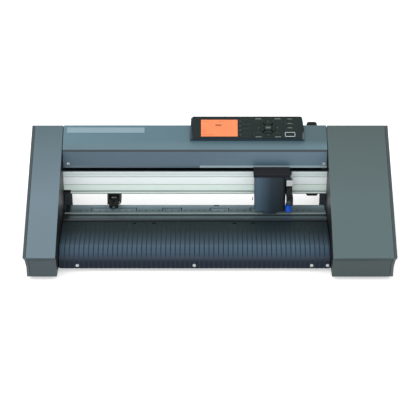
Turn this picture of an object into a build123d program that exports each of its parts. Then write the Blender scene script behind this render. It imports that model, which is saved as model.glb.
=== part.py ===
# Desktop vinyl cutter: a drum-feed plotter with a sliding tool carriage.
# Frame: X to the right, Y to the rear, Z up; origin under the middle of the footprint.
# All lengths are in millimetres.
from build123d import *
from math import atan2, cos, degrees, radians, sin, sqrt, tan
import os

os.makedirs("parts", exist_ok=True)

# ---- overall size ------------------------------------------------------------
width = 672
depth = 338
left_cover_width = 58.5
right_cover_width = 115
foot_height = 8
nose_height = 54
crest_height = 200.6
crest_y = 70
back_height = 120

# ---- walls and clearances ----------------------------------------------------
shell = 2.5
sheet = 2
seam = 0.3
cover_gap = 1.3
slide_gap = 0.35
pin_gap = 0.05

left_x = -width / 2
right_x = width / 2
front_y = -depth / 2
rear_y = depth / 2
bay_left = left_x + left_cover_width
bay_right = right_x - right_cover_width
bay_mid = (bay_left + bay_right) / 2
slope = atan2(crest_height - nose_height, crest_y - front_y)

# ---- side covers -------------------------------------------------------------
chin_setback = 10
chin_height = 42
panel_strip = 5.4
flank_taper = 4
flank_low = 28
frame_thickness = 3
frame_inset = 9
left_frame_x = bay_left - 14.5
right_frame_x = bay_right + 15

# ---- drive shaft and platen --------------------------------------------------
platen_z = 53
platen_thickness = 3
platen_front = -31
platen_rear = 25
shaft_radius = 4
grit_radius = 10
grit_y = 9.8
grit_proud = 0.2
grit_z = platen_z + grit_proud - grit_radius
tool_y = -6
mat_width = 5
mat_depth = 1

# ---- rail --------------------------------------------------------------------
media_gap = 25
rail_front = 24
rail_depth = 40
rail_height = 49.6
rail_wall = 4
rail_bottom = platen_z + media_gap
rail_top = rail_bottom + rail_height
rail_rear = rail_front + rail_depth

# ---- belt drive above the rail -----------------------------------------------
belt_radius = 12
belt_thickness = 1.2
belt_width = 5
belt_y = rail_front + 24
belt_z = rail_top + 3.1
idler_x = bay_left + 15.5
motor_x = bay_right - 25
motor_size = 42
axle_radius = 2.5

# ---- top cover and control panel ---------------------------------------------
lip_z = rail_top + 9.4
lip_flare = 3
lower_face_y = 22
fold_y = 24
top_cover_rear = 88
rear_wall_y = 112
rear_wall_bottom = 96
screw_radius = 3
screw_z = lip_z + 8
panel_left = bay_right - 258.5
panel_right = bay_right - 43.4
panel_start_y = 40.6
panel_length = 49.1
panel_thickness = 9
face_thickness = 1.5
key_travel = 0.8
key_proud = 1.1

# ---- carriage ----------------------------------------------------------------
carriage_x = bay_right - 108.2
carriage_width = 58.7
carriage_front = -12
carriage_bottom = 60
carriage_top = 137
foot_width = 24
foot_low = platen_z + 1.4
cap_radius = 6
cap_gap = 0.45
tool_x = carriage_x + carriage_width / 2 + cap_gap + cap_radius
cap_bottom = 56
stem_radius = 4

# ---- push rollers ------------------------------------------------------------
roller_left_x = bay_left + 94.5
roller_right_x = bay_right - 108
roller_radius = 8
roller_lift = 3
roller_z = platen_z + grit_proud + roller_lift + roller_radius
pivot_y = 40
carrier_width = 26
cam_y = 56
cam_z = 66
lever_x = bay_right - 26.5
knob_y = 97.5
knob_z = 187.5
knob_radius = 6.4
knob_half = 10
knob_round = 5
slot_half_width = 6.5
lever_thickness = 8
lever_hub_radius = 7

# ---- feed gears --------------------------------------------------------------
gear_teeth = 56
pinion_teeth = 16
gear_module = 1
gear_width = 6
gear_x = right_frame_x + frame_thickness + 4
gear_backlash = 0.1
feed_motor_length = 38
pinion_z = foot_height + sheet + motor_size / 2
centre_distance = (gear_teeth + pinion_teeth) * gear_module / 2 + gear_backlash
pinion_y = grit_y - sqrt(centre_distance**2 - (grit_z - pinion_z) ** 2)


# ---- front apron -------------------------------------------------------------
apron_front = front_y + 39
apron_start = (platen_front - 4, platen_z - 2)
apron_knee = (apron_front, platen_z - 10)
apron_foot = (apron_front, foot_height)
apron_radius = 26
apron_thickness = 2
apron_skin = 0.2
rib_pitch = 8.8
rib_width = 7.2
rib_proud = 0.6
apron_screw_z = foot_height + 7
screw_hole = 0.2
head_room = 0.4
apron_screws = [bay_left + 34.8, bay_left + 248.7, bay_right - 35, bay_right - 6]


# ---- shared shapes -----------------------------------------------------------
def slope_z(y):
    # height of the long front slope above a given Y
    return nose_height + (y - front_y) * tan(slope)


def back_z(y):
    # height of the rear slope behind the crest
    return crest_height - (y - crest_y) * (crest_height - back_height) / (rear_y - crest_y)


def side_outline():
    # side view of a cover: chin, undercut, nose, slope, crest, rear slope
    chin_y = front_y + chin_setback
    return [
        (chin_y, foot_height),
        (chin_y, chin_height),
        (front_y, nose_height),
        (crest_y, crest_height),
        (rear_y, back_height),
        (rear_y, foot_height),
    ]


def prism(x0, x1, points, inset=0, mode=Mode.ADD):
    # closed YZ outline, shrunk by inset, carried from x0 to x1
    with BuildSketch(Plane.YZ.offset(x0)) as outline:
        with BuildLine():
            Polyline(*points, close=True)
        make_face()
        if inset:
            offset(amount=-inset, kind=Kind.INTERSECTION, mode=Mode.REPLACE)
    extrude(outline.sketch, amount=x1 - x0, mode=mode)


def block(x0, x1, y0, y1, z0, z1, mode=Mode.ADD):
    # box between two opposite corners
    with Locations(((x0 + x1) / 2, (y0 + y1) / 2, (z0 + z1) / 2)):
        Box(x1 - x0, y1 - y0, z1 - z0, mode=mode)


def rod_x(x0, x1, y, z, radius, mode=Mode.ADD):
    # cylinder along X
    with Locations(Location(((x0 + x1) / 2, y, z), (0, 90, 0))):
        Cylinder(radius, x1 - x0, mode=mode)


def rod_y(x, y0, y1, z, radius, mode=Mode.ADD):
    # cylinder along Y
    with Locations(Location((x, (y0 + y1) / 2, z), (90, 0, 0))):
        Cylinder(radius, y1 - y0, mode=mode)


def rod_z(x, y, z0, z1, radius, mode=Mode.ADD):
    # cylinder along Z
    with Locations((x, y, (z0 + z1) / 2)):
        Cylinder(radius, z1 - z0, mode=mode)


def strip(x0, x1, points, thickness, mode=Mode.ADD):
    # bent sheet: the outline's left-hand side, thickened to its right
    with BuildSketch(Plane.YZ.offset(x0)) as section:
        with BuildLine():
            Polyline(*points)
            offset(amount=thickness, side=Side.RIGHT, kind=Kind.INTERSECTION)
        make_face()
    extrude(section.sketch, amount=x1 - x0, mode=mode)


def save(builder, label):
    # name the piece and write it out
    builder.part.label = label
    export_step(builder.part, f"parts/{label}.step")


def slope_plane(x, along, above):
    # plane lying on the front slope, starting where the control panel starts
    start = Vector(x, panel_start_y, slope_z(panel_start_y))
    up_slope = Vector(0, cos(slope), sin(slope))
    normal = Vector(0, -sin(slope), cos(slope))
    return Plane(start + up_slope * along + normal * above, x_dir=(1, 0, 0), z_dir=normal)


# ---- chassis and feet --------------------------------------------------------
chassis_edge = panel_strip + flank_taper + shell
chassis_front = front_y + chin_setback + shell + seam
bay_rear = 90
tray_front = apron_front + apron_thickness
flange_height = 8
beam_front = platen_front + 3
beam_rear = grit_y + grit_radius + 1.2
platen_low = platen_z - platen_thickness
inner_left = bay_left + 1
inner_right = bay_right - 1
shank_hole = screw_radius / 2 + screw_hole

with BuildPart() as base_chassis:
    floor_top = foot_height + sheet
    wing_rear = rear_y - shell - seam
    floors = [
        (left_x + chassis_edge, bay_left - shell - seam, chassis_front, wing_rear),
        (bay_right + shell + seam, right_x - chassis_edge, chassis_front, wing_rear),
        (left_x + chassis_edge, right_x - chassis_edge, tray_front, bay_rear),
    ]
    for x0, x1, y0, y1 in floors:
        block(x0, x1, y0, y1, foot_height, floor_top)
    # upright flange that the apron is screwed to
    block(inner_left, inner_right, tray_front, tray_front + sheet, foot_height, floor_top + flange_height)
    for x in apron_screws:
        rod_y(x, tray_front - 1, tray_front + 4, apron_screw_z, shank_hole, mode=Mode.SUBTRACT)
    for web_y in (beam_front, beam_rear):
        block(inner_left, inner_right, web_y, web_y + sheet, foot_height, platen_low)
    guide = [(beam_rear, platen_low), (bay_rear, floor_top)]
    strip(inner_left, inner_right, guide, sheet)
    block(inner_left, inner_right, beam_rear, bay_rear + sheet, 0, foot_height, mode=Mode.SUBTRACT)
save(base_chassis, "base_chassis")

foot_radius = 12
with BuildPart() as feet:
    foot_spots = [
        (x, y)
        for x in (left_x + 36, right_x - 36)
        for y in (front_y + 34, rear_y - 34)
    ]
    with BuildSketch():
        with Locations(*foot_spots):
            Circle(foot_radius)
    extrude(amount=foot_height)
    chamfer(feet.edges().group_by(Axis.Z)[0], 1)
save(feet, "feet")

# ---- side frames -------------------------------------------------------------
bearing_radius = 11
bearing_fit = 0.02
lightening_radius = 22
with BuildPart() as side_frames:
    for x in (left_frame_x, right_frame_x):
        prism(x, x + frame_thickness, side_outline(), inset=frame_inset)
        block(x, x + frame_thickness, front_y, rear_y, 0, foot_height + sheet, mode=Mode.SUBTRACT)
        low = foot_height + frame_inset + 1
        block(x, x + frame_thickness, front_y + 60, rear_y - 30, foot_height + sheet, low)
        far = x + frame_thickness
        rod_x(x - 1, far + 1, grit_y, grit_z, bearing_radius + bearing_fit, mode=Mode.SUBTRACT)
        block(x, far, crest_y + 15, crest_y + 60, 40, 110, mode=Mode.SUBTRACT)
        rod_x(x - 1, far + 1, front_y + 95, 50, lightening_radius, mode=Mode.SUBTRACT)
save(side_frames, "side_frames")


# ---- side covers -------------------------------------------------------------
def flank(inset, x_side):
    # front view of an outer flank: upright, tapering inward, upright again
    outer = x_side * (width / 2 - inset)
    low = x_side * (width / 2 - inset - flank_taper)
    far = x_side * width / 2 * -1
    return [
        (far, -10),
        (low, -10),
        (low, flank_low),
        (outer, nose_height),
        (outer, crest_height + 20),
        (far, crest_height + 20),
    ]


def keep_flank(inset, x_side, mode=Mode.INTERSECT):
    # everything on the inner side of a flank that is inset from the outside
    with BuildSketch(Plane.XZ.offset(-depth)) as view:
        with BuildLine():
            Polyline(*flank(inset, x_side), close=True)
        make_face()
    extrude(view.sketch, amount=2 * depth, mode=mode)


def side_cover(x_side, inner_x):
    outer_x = x_side * width / 2
    x0, x1 = sorted((inner_x, outer_x))
    wall_x = inner_x + x_side * shell
    prism(x0, x1, side_outline())
    h0, h1 = sorted((wall_x, outer_x))
    prism(h0, h1, side_outline(), inset=shell, mode=Mode.SUBTRACT)
    floor = [(front_y + chin_setback + shell, 0), (rear_y - shell, 0), (rear_y - shell, 20)]
    floor.append((front_y + chin_setback + shell, 20))
    prism(h0, h1, floor, mode=Mode.SUBTRACT)
    keep_flank(panel_strip + seam, x_side)
    # windows in the inner wall for the rail and the drive shaft
    w0, w1 = sorted((inner_x - x_side, wall_x + x_side))
    block(w0, w1, rail_front - 1, rail_rear + 1, rail_bottom - 1, rail_top + 1, mode=Mode.SUBTRACT)
    rod_x(w0, w1, grit_y, grit_z, shaft_radius + 2, mode=Mode.SUBTRACT)
    # notch that lets the chassis floor pass under the inner wall
    floor_z = foot_height + sheet + seam
    block(w0, w1, tray_front - seam, bay_rear + seam, 0, floor_z, mode=Mode.SUBTRACT)


with BuildPart() as left_cover:
    side_cover(-1, bay_left)
save(left_cover, "left_cover")

# rear power inlet, interface block and switch in the right cover's back wall
inlet_x = right_x - 58
inlet_z = 36
inlet_width = 27.4
inlet_height = 20
port_x = bay_right + 32
port_width = 16
port_height = 14
switch_x = inlet_x + 26
switch_width = 14
switch_height = 20

with BuildPart() as right_cover:
    side_cover(1, bay_right)
    openings = [
        (inlet_x, inlet_width, inlet_height),
        (port_x, port_width, port_height),
        (switch_x, switch_width, switch_height),
    ]
    for x, w, h in openings:
        low, high = inlet_z - h / 2, inlet_z + h / 2
        block(x - w / 2, x + w / 2, rear_y - shell - 1, rear_y + 1, low, high, mode=Mode.SUBTRACT)
save(right_cover, "right_cover")



def side_panel(x_side):
    # dished plate that closes a cover's outer flank
    reach = panel_strip + flank_taper + 2
    x0, x1 = sorted((x_side * (width / 2 - reach), x_side * width / 2))
    with BuildPart() as plate:
        prism(x0, x1, side_outline())
        keep_flank(0, x_side)
        keep_flank(panel_strip, x_side, mode=Mode.SUBTRACT)
    with BuildPart() as hollow:
        prism(x0, x1, side_outline(), inset=shell)
        keep_flank(shell, x_side)
    return plate.part - hollow.part


left_panel = side_panel(-1)
right_panel = side_panel(1)
with BuildPart() as side_panels:
    add(left_panel)
    add(right_panel)
save(side_panels, "side_panels")

# ---- top cover, rear cover ---------------------------------------------------
top_left = bay_left + cover_gap
top_right = bay_right - cover_gap
screw_spots = [(bay_left + 11, screw_z), (bay_right - 6.8, screw_z)]

with BuildPart() as top_cover:
    outline = [
        (lower_face_y - lip_flare, lip_z),
        (lower_face_y, lip_z + lip_flare),
        (fold_y, slope_z(fold_y)),
        (crest_y, crest_height),
        (top_cover_rear, back_z(top_cover_rear)),
    ]
    strip(top_left, top_right, outline, shell)
    block(top_left, top_right, 0, fold_y + shell, lip_z - 5, lip_z, mode=Mode.SUBTRACT)
    for x, z in screw_spots:
        rod_y(x, lower_face_y - 5, lower_face_y + 8, z, shank_hole, mode=Mode.SUBTRACT)
save(top_cover, "top_cover")

slot_left = lever_x - slot_half_width
slot_right = lever_x + slot_half_width
slot_front = cam_y + 22
slot_low = rear_wall_bottom - 5
with BuildPart() as rear_cover:
    outline = [
        (top_cover_rear + seam, back_z(top_cover_rear + seam)),
        (rear_wall_y, back_z(rear_wall_y)),
        (rear_wall_y, rear_wall_bottom),
        (rail_rear, rear_wall_bottom),
    ]
    strip(top_left, top_right, outline, shell)
    block(slot_left, slot_right, slot_front, rear_wall_y + 5, slot_low, crest_height, mode=Mode.SUBTRACT)
save(rear_cover, "rear_cover")

# ---- front apron -------------------------------------------------------------


def apron_sheet(x0, x1, outer, thickness, mode=Mode.ADD):
    # sheet that rolls from the nearly flat top into the upright front
    with BuildSketch(Plane.YZ.offset(x0)) as section:
        with BuildLine():
            FilletPolyline(apron_foot, apron_knee, apron_start, radius=apron_radius)
            offset(amount=outer, side=Side.LEFT, kind=Kind.INTERSECTION)
        make_face()
        if thickness:
            with BuildLine():
                FilletPolyline(apron_foot, apron_knee, apron_start, radius=apron_radius)
                offset(amount=thickness, side=Side.RIGHT, kind=Kind.INTERSECTION)
            make_face()
    extrude(section.sketch, amount=x1 - x0, mode=mode)


apron_left = bay_left + cover_gap
apron_right = bay_right - cover_gap
sensor_slots = [bay_left + 135.9, bay_left + 171.9, bay_right - 175.4, bay_right - 140]

with BuildPart() as front_apron:
    apron_sheet(apron_left, apron_right, apron_skin, apron_thickness)
    rib_count = int((apron_right - apron_left) / rib_pitch)
    rib_start = (apron_left + apron_right) / 2 - (rib_count - 1) * rib_pitch / 2
    for i in range(rib_count):
        x = rib_start + i * rib_pitch
        apron_sheet(x - rib_width / 2, x + rib_width / 2, apron_skin + rib_proud, 0)
    for x in sensor_slots:
        block(x - 3.5, x + 3.5, apron_start[0] - 8, apron_start[0] - 4, 40, 60, mode=Mode.SUBTRACT)
    for x in apron_screws:
        seat_y = apron_front - apron_skin
        rod_y(x, apron_front - 3, seat_y, apron_screw_z, screw_radius + head_room, mode=Mode.SUBTRACT)
        rod_y(x, apron_front - 1, tray_front + 1, apron_screw_z, shank_hole, mode=Mode.SUBTRACT)
save(front_apron, "front_apron")

# ---- platen and cutting mat --------------------------------------------------
roller_stations = [
    (roller_left_x, 84),
    (bay_mid - 44, 34),
    (bay_mid + 46, 34),
    (roller_right_x, 72),
]
slot_half = sqrt(grit_radius**2 - (platen_low - grit_z) ** 2) + 0.8
groove_y = -11.4
groove_half = 1.8
window_left = bay_mid + 34.3
window_right = bay_mid + 47.3
window_depth = 5

with BuildPart() as platen:
    block(inner_left, inner_right, platen_front, platen_rear, platen_low, platen_z)
    for x, length in roller_stations:
        gap = length / 2 + 1.5
        block(x - gap, x + gap, grit_y - slot_half, grit_y + slot_half, 40, 60, mode=Mode.SUBTRACT)
    groove_low = platen_z - mat_depth
    for y, half in ((tool_y, mat_width / 2), (groove_y, groove_half)):
        block(bay_left, bay_right, y - half, y + half, groove_low, platen_z + 1, mode=Mode.SUBTRACT)
    window_front = platen_rear - window_depth
    window = (window_left, window_right, window_front, platen_rear + 1, platen_low, platen_z + 1)
    block(*window, mode=Mode.SUBTRACT)
    front_top = platen.edges().filter_by(Axis.X).group_by(Axis.Y)[0].sort_by(Axis.Z)[-1]
    chamfer(front_top, 1.5)
save(platen, "platen")

with BuildPart() as cutting_mat:
    block(
        bay_left + 2, bay_right - 2, tool_y - mat_width / 2 + 0.05, tool_y + mat_width / 2 - 0.05,
        platen_z - mat_depth, platen_z + 0.1,
    )
save(cutting_mat, "cutting_mat")

# ---- rail --------------------------------------------------------------------
guide_slot_z = rail_bottom + 3.8
guide_slot_height = 4.2
guide_slot_depth = 4.5
hang_slot_y = rail_front + 12
hang_slot_width = 12
hang_lip = 2

with BuildPart() as y_rail:
    rail_x0 = left_frame_x + frame_thickness
    rail_x1 = right_frame_x
    block(rail_x0, rail_x1, rail_front, rail_rear, rail_bottom, rail_top)
    block(
        rail_x0, rail_x1, rail_front + 8, rail_rear - rail_wall,
        rail_bottom + 9, rail_top - rail_wall, mode=Mode.SUBTRACT,
    )
    lines = [
        (guide_slot_z, guide_slot_height, guide_slot_depth),
        (rail_top - 30, 1.4, 1.2),
        (rail_top - 13.6, 1.6, 1.5),
        (rail_top - 7.4, 1.2, 1),
    ]
    for z, height, inward in lines:
        block(rail_x0, rail_x1, rail_front, rail_front + inward, z, z + height, mode=Mode.SUBTRACT)
    block(
        rail_x0, rail_x1, hang_slot_y, hang_slot_y + hang_slot_width,
        rail_bottom, rail_bottom + 6, mode=Mode.SUBTRACT,
    )
    for y in (hang_slot_y, hang_slot_y + hang_slot_width - hang_lip):
        block(rail_x0, rail_x1, y, y + hang_lip, rail_bottom, rail_bottom + 2.5)
save(y_rail, "y_rail")

# ---- rail brackets: lower supports, idler plate, motor shelf -----------------
shelf_z = rail_top + 9.9
shelf_rear = rear_wall_y - 34
with BuildPart() as rail_brackets:
    for x_side, edge, reach in ((-1, bay_left, 14.5), (1, bay_right, 12)):
        inward = -x_side
        x0, x1 = sorted((edge + inward * 0.5, edge + inward * reach))
        block(x0, x1, rail_front, rail_front + 3.5, platen_z, rail_bottom)
        c0, c1 = sorted((edge + inward * 0.5, edge + inward * 4.5))
        block(c0, c1, rail_front, cam_y + 7, cam_z - 7, rail_bottom)
        rod_x(c0 - 1, c1 + 1, cam_y, cam_z, shaft_radius + pin_gap, mode=Mode.SUBTRACT)
        g0, g1 = sorted((edge + inward * 0.5, edge + inward * 3))
        gusset = [(rail_front, platen_z), (rail_front, platen_z + 13), (rail_front - 19, platen_z)]
        prism(g0, g1, gusset)
        rod_y(edge + inward * 8, rail_front - 2, rail_front, platen_z + 13, 3.5)
    plate_back = belt_y + 12
    block(idler_x - 13, idler_x + 13, belt_y - 12, plate_back, rail_top, rail_top + 1.5)
    rod_z(idler_x, belt_y, rail_top, rail_top + 9.6, axle_radius)
    shelf_left = motor_x - motor_size / 2 - 3
    block(shelf_left, bay_right - 2, rail_front + 2, shelf_rear, shelf_z, shelf_z + sheet)
    block(bay_right - 9, bay_right - 2, rail_front + 6, rail_rear, rail_top, shelf_z)
    rod_z(motor_x, belt_y, shelf_z - 1, shelf_z + sheet + 1, 11, mode=Mode.SUBTRACT)
save(rail_brackets, "rail_brackets")

# ---- belt, pulleys -----------------------------------------------------------
with BuildPart() as drive_belt:
    with BuildSketch(Plane.XY.offset(belt_z)):
        with Locations(((idler_x + motor_x) / 2, belt_y)):
            span = motor_x - idler_x
            SlotCenterToCenter(span, 2 * (belt_radius + belt_thickness))
            SlotCenterToCenter(span, 2 * belt_radius, mode=Mode.SUBTRACT)
    extrude(amount=belt_width)
save(drive_belt, "drive_belt")

flange_thickness = 0.7


def pulley(x):
    # toothless pulley body between two flanges
    z0 = belt_z - slide_gap
    z1 = belt_z + belt_width + slide_gap
    rod_z(x, belt_y, z0, z1, belt_radius - slide_gap)
    rod_z(x, belt_y, z0 - flange_thickness, z0, belt_radius + 1.6)
    rod_z(x, belt_y, z1, z1 + flange_thickness, belt_radius + 1.6)


shaft_socket = 12
axle_bore = axle_radius + pin_gap
with BuildPart() as motor_pulley:
    pulley(motor_x)
    rod_z(motor_x, belt_y, belt_z, shelf_z + sheet + shaft_socket, axle_radius)
save(motor_pulley, "motor_pulley")

with BuildPart() as idler_pulley:
    pulley(idler_x)
    rod_z(idler_x, belt_y, rail_top, rail_top + 20, axle_bore, mode=Mode.SUBTRACT)
save(idler_pulley, "idler_pulley")

# ---- motors ------------------------------------------------------------------
motor_height = 27
feed_motor_x = gear_x + gear_width + 4
with BuildPart() as drive_motors:
    half = motor_size / 2
    with BuildSketch(Plane.XY.offset(shelf_z + sheet)):
        with Locations((motor_x, belt_y + 3)):
            RectangleRounded(motor_size, motor_size, 5)
    extrude(amount=motor_height)
    rod_z(motor_x, belt_y, shelf_z, shelf_z + sheet + shaft_socket + 1, axle_bore, mode=Mode.SUBTRACT)
    with BuildSketch(Plane.YZ.offset(feed_motor_x)):
        with Locations((pinion_y, pinion_z)):
            RectangleRounded(motor_size, motor_size, 5)
    extrude(amount=feed_motor_length)
    socket_end = feed_motor_x + shaft_socket + 1
    rod_x(feed_motor_x, socket_end, pinion_y, pinion_z, axle_bore, mode=Mode.SUBTRACT)
save(drive_motors, "drive_motors")


# ---- feed gears and drive shaft ----------------------------------------------
def spur_gear(x, y, z, teeth, phase):
    # straight-sided teeth on a disc, thin enough to run with backlash
    pitch_radius = teeth * gear_module / 2
    root = pitch_radius - 1.15 * gear_module
    with BuildSketch(Plane.YZ.offset(x)) as section:
        with Locations((y, z)):
            Circle(root)
            with PolarLocations(0, teeth, start_angle=phase):
                tooth = [
                    (root - 0.4, -0.95 * gear_module),
                    (pitch_radius + 0.8 * gear_module, -0.34 * gear_module),
                    (pitch_radius + 0.8 * gear_module, 0.34 * gear_module),
                    (root - 0.4, 0.95 * gear_module),
                ]
                Polygon(*tooth, align=None)
    extrude(section.sketch, amount=gear_width)


mesh_angle = degrees(atan2(pinion_z - grit_z, pinion_y - grit_y))

with BuildPart() as grit_shaft:
    shaft_left = left_frame_x - 6
    rod_x(shaft_left, gear_x + gear_width + 2, grit_y, grit_z, shaft_radius)
    for x, length in roller_stations:
        rod_x(x - length / 2, x + length / 2, grit_y, grit_z, grit_radius)
    spur_gear(gear_x, grit_y, grit_z, gear_teeth, mesh_angle)
save(grit_shaft, "grit_shaft")

with BuildPart() as feed_pinion:
    phase = mesh_angle + 180 + 180 / pinion_teeth
    spur_gear(gear_x, pinion_y, pinion_z, pinion_teeth, phase)
    rod_x(gear_x, feed_motor_x + shaft_socket, pinion_y, pinion_z, axle_radius)
save(feed_pinion, "feed_pinion")

bearing_width = 7
with BuildPart() as shaft_bearings:
    for x in (left_frame_x, right_frame_x):
        x0 = x + frame_thickness / 2 - bearing_width / 2
        rod_x(x0, x0 + bearing_width, grit_y, grit_z, bearing_radius)
        rod_x(x0 - 1, x0 + bearing_width + 1, grit_y, grit_z, shaft_radius + pin_gap, mode=Mode.SUBTRACT)
save(shaft_bearings, "shaft_bearings")

# ---- sensors -----------------------------------------------------------------
with BuildPart() as sensors:
    block(
        window_left + 0.5, window_right - 0.5, platen_rear - window_depth + seam, platen_rear - seam,
        platen_low, platen_z + 0.1,
    )
    home_x = bay_right - 26.5
    with BuildSketch(Plane.XZ.offset(-rail_front - 9)):
        with BuildLine():
            Polyline(
                (home_x - 12, rail_bottom),
                (home_x - 9, rail_bottom - 5),
                (home_x + 9, rail_bottom - 5),
                (home_x + 12, rail_bottom),
                close=True,
            )
        make_face()
    extrude(amount=8)
save(sensors, "sensors")

# ---- ribbon cable on the rail top --------------------------------------------
with BuildPart() as flat_cable:
    block(bay_left + 4, bay_right - 12, rail_front + 1, rail_front + 9, rail_top, rail_top + 0.5)
save(flat_cable, "flat_cable")

# ---- carriage ----------------------------------------------------------------
cx = carriage_x
cover_left = cx - carriage_width / 2
cover_right = cx + carriage_width / 2
plate_front = rail_front - 6
plate_back = rail_front - 0.6
rod_y_pos = 15
post_top = 122
post_bottom = 82
slide_radius = 2.5
arm_top = belt_z + belt_width - 0.2 + 0.5
clamp_left = cx - 22
clamp_right = cx + 4

with BuildPart() as carriage_chassis:
    block(cover_left + 3.35, cover_right - 4.35, plate_front, plate_back, rail_bottom + 2, arm_top)
    block(cover_right - 4.35, tool_x + 6.2, plate_back - 2.5, plate_back, post_bottom, post_top + 4)
    # tongue that runs in the rail's front slot
    tongue_z = guide_slot_z + slide_gap
    tongue_top = guide_slot_z + guide_slot_height - slide_gap
    tongue_end = rail_front + guide_slot_depth - slide_gap
    block(cover_left + 5.35, cover_right - 5.35, plate_back, tongue_end, tongue_z, tongue_top)
    # arm over the rail, ending in a fork around the belt's front run
    belt_front = belt_y - belt_radius - belt_thickness
    block(clamp_left, clamp_right, plate_back, belt_front - slide_gap, rail_top + 1, arm_top)
    under_belt = (belt_front - 2, belt_y - belt_radius + 3, rail_top + 1, belt_z - slide_gap)
    block(clamp_left, clamp_right, *under_belt)
    fork = belt_y - belt_radius + slide_gap
    block(clamp_left, clamp_right, fork, fork + 2.6, rail_top + 1, arm_top)
    # two lugs with the post that the tool slides on
    for z0 in (post_bottom, post_top):
        block(tool_x - 5, tool_x + 5, rod_y_pos - 4, plate_back, z0, z0 + 4)
    rod_z(tool_x, rod_y_pos, post_bottom, post_top + 4, slide_radius)
save(carriage_chassis, "carriage_chassis")

with BuildPart() as carriage_cover:
    x0 = cover_left
    x1 = cover_right
    back = plate_front - seam
    skin = 2
    apron_y = 1
    corner = 7
    with BuildSketch(Plane.XY.offset(carriage_bottom)):
        with Locations((cx, (carriage_front + back) / 2)):
            Rectangle(carriage_width, back - carriage_front)
    extrude(amount=carriage_top - carriage_bottom)
    uprights = carriage_cover.edges().filter_by(Axis.Z).group_by(Axis.Y)[0]
    fillet(uprights, corner)
    # hollow behind the curved skin
    ceiling = carriage_top - skin
    skin_back = carriage_front + skin
    block(x0 + skin, x1 - skin, skin_back + 3, back + 1, 0, ceiling, mode=Mode.SUBTRACT)
    block(x0 + corner, x1 - corner, skin_back, 5, 0, ceiling, mode=Mode.SUBTRACT)
    # the low skirt stops in front of the push rollers
    block(x0 - 1, x1 + 1, apron_y, back + 1, 0, rail_bottom + 2, mode=Mode.SUBTRACT)
    # sloped cap that leans back under the top cover's lip and overhangs the tool
    cap_left = cover_left - 2.15
    cap_right = tool_x + 1.2
    lip_clear = plate_front - seam
    cap = [
        (carriage_front - 1, carriage_top - 4),
        (carriage_front - 1, carriage_top + 1),
        (4, carriage_top + 6),
        (lip_clear, carriage_top + 2),
        (lip_clear, carriage_top - 4),
    ]
    prism(cap_left, cap_right, cap)
    inner = [
        (carriage_front + 1, 0),
        (carriage_front + 1, carriage_top - 1),
        (4, carriage_top + 4),
        (lip_clear + 2, carriage_top),
        (lip_clear + 2, 0),
    ]
    prism(x0 + corner, x1 - corner, inner, mode=Mode.SUBTRACT)
    # foot that holds loose media down in front of the mat
    foot_back = carriage_front + 8
    block(cx - foot_width / 2, cx + foot_width / 2, skin_back - 1, foot_back, foot_low, carriage_bottom + 6)
    # block over the tool's post
    over_low = carriage_top - 10
    over = [
        (carriage_front - 1, over_low),
        (carriage_front - 1, carriage_top),
        (8, carriage_top),
        (8, over_low),
    ]
    prism(x1 - skin, cap_right, over)
save(carriage_cover, "carriage_cover")

# ---- tool: arm, holder, blade, clamp knob ------------------------------------
arm_low = 92
arm_high = 112
holder_low = 74
holder_front = -15
knob_hole = 2
clamp_z = 82

with BuildPart() as tool_arm:
    hub_back = plate_back - 2.5 - 0.4
    block(tool_x - 5, tool_x + 5, rod_y_pos - 6, hub_back, arm_low, arm_high)
    block(tool_x - 5, tool_x + 5.5, holder_front + 3, rod_y_pos - 6, arm_low - 6, arm_high - 2)
    block(tool_x - 4.5, tool_x + 7.5, holder_front, 1.5, holder_low, arm_low - 2)
    low_edge = tool_arm.edges().filter_by(Axis.Y).group_by(Axis.Z)[0].sort_by(Axis.X)[-1]
    chamfer(low_edge, 2)
    rod_z(tool_x, rod_y_pos, arm_low - 1, arm_high + 1, slide_radius + pin_gap, mode=Mode.SUBTRACT)
    rod_z(tool_x, tool_y, holder_low - 1, arm_high - 4, stem_radius + pin_gap, mode=Mode.SUBTRACT)
    rod_y(tool_x, holder_front - 1, tool_y, clamp_z, knob_hole + pin_gap, mode=Mode.SUBTRACT)
save(tool_arm, "tool_arm")

blade_radius = 0.5
blade_shoulder = 1.1
blade_top = 72
with BuildPart() as blade_holder:
    rod_z(tool_x, tool_y, cap_bottom, holder_low, cap_radius)
    fillet(blade_holder.edges().group_by(Axis.Z)[-1], 1)
    chamfer(blade_holder.edges().group_by(Axis.Z)[0], 2)
    rod_z(tool_x, tool_y, holder_low - 2, arm_high - 5, stem_radius)
    bore_top = blade_top + 1
    rod_z(tool_x, tool_y, cap_bottom - 1, bore_top, blade_radius + pin_gap, mode=Mode.SUBTRACT)
    rod_z(tool_x, tool_y, cap_bottom + 5, bore_top, blade_shoulder + pin_gap, mode=Mode.SUBTRACT)
save(blade_holder, "blade_holder")

with BuildPart() as blade:
    rod_z(tool_x, tool_y, cap_bottom - 0.4, blade_top, blade_radius)
    rod_z(tool_x, tool_y, cap_bottom + 5.3, blade_top, blade_shoulder)
save(blade, "blade")

with BuildPart() as clamp_knob:
    rod_y(tool_x, holder_front - 5, holder_front - 0.4, clamp_z, 4.3)
    rod_y(tool_x, holder_front - 1, tool_y - stem_radius - 0.3, clamp_z, knob_hole)
    chamfer(clamp_knob.edges().group_by(Axis.Y)[0], 0.8)
save(clamp_knob, "clamp_knob")

# ---- push rollers ------------------------------------------------------------
cheek = 3
wheel_width = 6
wheel_offset = 5.5
pin_radius = 1.5
pivot_radius = 2
arm_half = 4


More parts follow.
